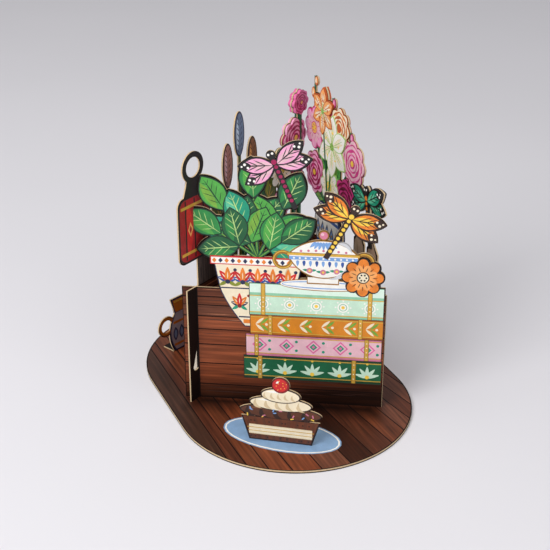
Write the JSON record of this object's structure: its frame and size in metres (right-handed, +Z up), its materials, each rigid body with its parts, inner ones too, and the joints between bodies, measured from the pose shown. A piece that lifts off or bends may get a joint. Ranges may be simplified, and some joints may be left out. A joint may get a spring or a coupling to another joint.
{
  "type": "pop-up greeting card",
  "caption": "Free-standing pop-up greeting card: a triangular folded card screen with die-cut flower and still-life tops on a stadium-shaped board, with small standing figures.",
  "frame": {"origin": "centre of the base board's underside", "axes": "+Z up, +Y along the base board's long way, the front panel faces -Y and a little to -X, the crossed corner of the screen points to -X"},
  "size_m": [0.14, 0.197, 0.1778],
  "materials": {
    "printed_board": "satin print with a pale cut edge",
    "printed_card": "satin print with a pale cut edge",
    "front_figure_card": "satin print with a pale cut edge",
    "rear_figure_card": "satin print with a pale cut edge"
  },
  "bodies": {
    "root": {"base_board": "printed_board", "folded_screen": "printed_card", "front_figure": "front_figure_card", "rear_figure": "rear_figure_card"}
  },
  "joints": []
}
